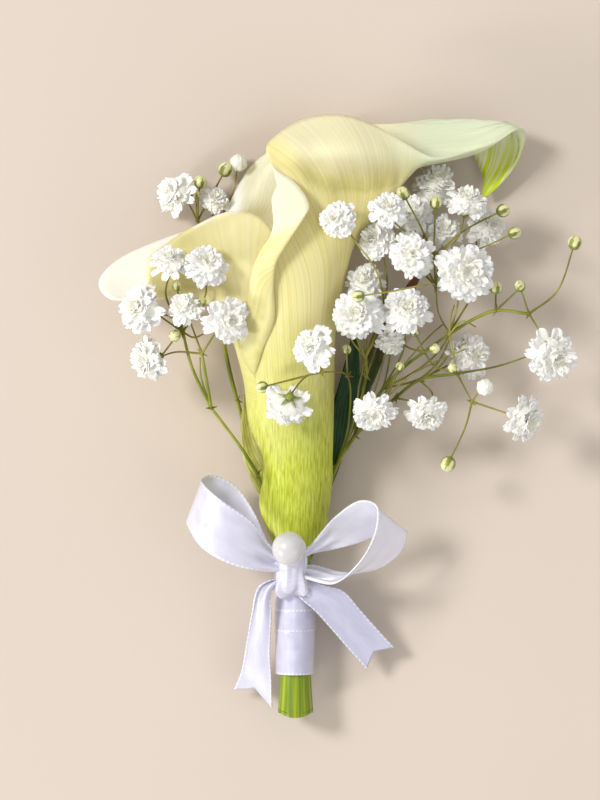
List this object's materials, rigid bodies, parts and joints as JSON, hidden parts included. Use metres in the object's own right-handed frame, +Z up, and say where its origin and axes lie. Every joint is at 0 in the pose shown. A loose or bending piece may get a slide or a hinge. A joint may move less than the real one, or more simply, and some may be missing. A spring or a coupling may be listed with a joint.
{
  "type": "boutonniere",
  "caption": "Calla lily boutonniere with baby's breath sprays, leaves, a satin ribbon wrap and bow, and a pearl-headed pin, laid on its back",
  "frame": {"origin": "middle of the outline seen from above, on the surface that the boutonniere lies on", "axes": "+Y runs from the cut stem to the flower, +Z points up, away from the surface, and +X to the long petal tip"},
  "size_m": [0.1206, 0.1522, 0.0385],
  "materials": {
    "calla_petal": "waxy petal, cream, lime green at its base",
    "calla_stem": "fresh green stem, streaked",
    "spadix": "matt yellow",
    "dark_leaf": "glossy dark green leaf",
    "olive_leaf": "satin olive leaf",
    "russet_leaf": "satin russet leaf",
    "spray_green": "thin olive twigs and buds",
    "bloom_petal": "soft matt white petals",
    "satin_ribbon": "white satin with a faint lilac tint",
    "pearl": "pearl lustre",
    "pin_steel": "polished pin"
  },
  "bodies": {
    "root": {"bloom_left_01": "bloom_petal", "bloom_left_02": "bloom_petal", "bloom_left_03": "bloom_petal", "bloom_left_04": "bloom_petal", "bloom_left_05": "bloom_petal", "bloom_left_06": "bloom_petal", "bloom_right_01": "bloom_petal", "bloom_right_02": "bloom_petal", "bloom_right_03": "bloom_petal", "bloom_right_04": "bloom_petal", "bloom_right_05": "bloom_petal", "bloom_right_06": "bloom_petal", "bloom_right_07": "bloom_petal", "bloom_right_08": "bloom_petal", "bloom_right_09": "bloom_petal", "bloom_right_10": "bloom_petal", "bloom_right_11": "bloom_petal", "bloom_right_12": "bloom_petal", "bloom_right_13": "bloom_petal", "bloom_right_14": "bloom_petal", "bloom_right_15": "bloom_petal", "bloom_right_16": "bloom_petal", "bloom_right_17": "bloom_petal", "bloom_right_18": "bloom_petal", "bloom_right_19": "bloom_petal", "bloom_right_20": "bloom_petal", "bloom_right_21": "bloom_petal", "bloom_right_22": "bloom_petal", "bloom_top_01": "bloom_petal", "bloom_top_02": "bloom_petal", "bloom_top_03": "bloom_petal", "bow_knot": "satin_ribbon", "bow_loop_left": "satin_ribbon", "bow_loop_right": "satin_ribbon", "bow_tail_left": "satin_ribbon", "bow_tail_right": "satin_ribbon", "calla_stem": "calla_stem", "leaf_dark": "dark_leaf", "leaf_olive": "olive_leaf", "leaf_russet": "russet_leaf", "pearl_head": "pearl", "pin_shaft": "pin_steel", "ribbon_wrap": "satin_ribbon", "spadix": "spadix", "spathe": "calla_petal", "spray_left": "spray_green", "spray_right": "spray_green", "spray_top": "spray_green"}
  },
  "joints": []
}
